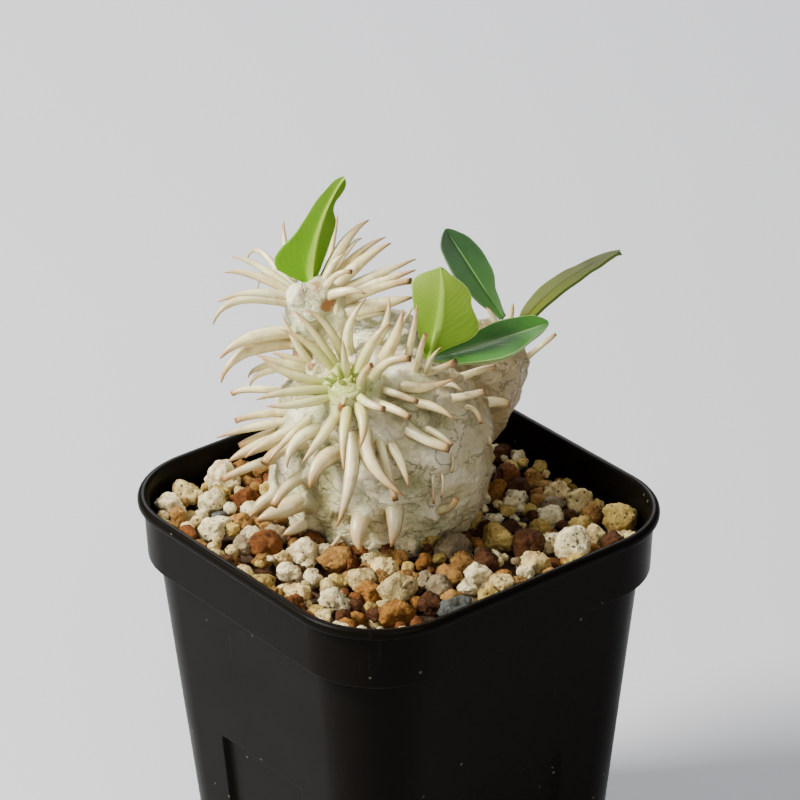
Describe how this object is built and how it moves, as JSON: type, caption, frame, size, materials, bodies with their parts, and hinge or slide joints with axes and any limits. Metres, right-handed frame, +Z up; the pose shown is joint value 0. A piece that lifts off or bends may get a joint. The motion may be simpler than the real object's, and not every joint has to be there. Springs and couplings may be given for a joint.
{
  "type": "potted spiny caudex succulent",
  "caption": "Squat spiny caudex succulent with several growing heads and glossy green leaves, in pumice gravel in a rounded square nursery pot.",
  "frame": {"origin": "Middle of the pot's flat underside, on the surface that it stands on.", "axes": "+Z is up. The pot's flat sides lie along X and Y. The pictured corner of the pot is the one towards +X and -Y."},
  "size_m": [0.09, 0.1023, 0.1636],
  "materials": {
    "pot_plastic": "black satin moulded plastic with fine scuffs and dust",
    "gravel_stone": "matte porous pumice and baked clay grains in cream, tan, red-brown and grey",
    "pale_bark": "silvery ivory wrinkled bark, with satin ivory spines that end in brown points",
    "leaf_bright_green": "bright yellow-green leathery leaf, satin, with a pale midrib",
    "leaf_light_green": "light green leaf underside with fine side veins, satin",
    "leaf_dark_green": "glossy dark green leathery leaf with a pale midrib and margin",
    "leaf_olive_green": "dull olive green leaf underside, satin"
  },
  "bodies": {
    "root": {"pot": "pot_plastic", "gravel": "gravel_stone", "caudex": "pale_bark", "leaf_left_head": "leaf_bright_green", "leaf_round": "leaf_light_green", "leaf_centre": "leaf_dark_green", "leaf_back": "leaf_dark_green", "leaf_right": "leaf_olive_green"}
  },
  "joints": []
}
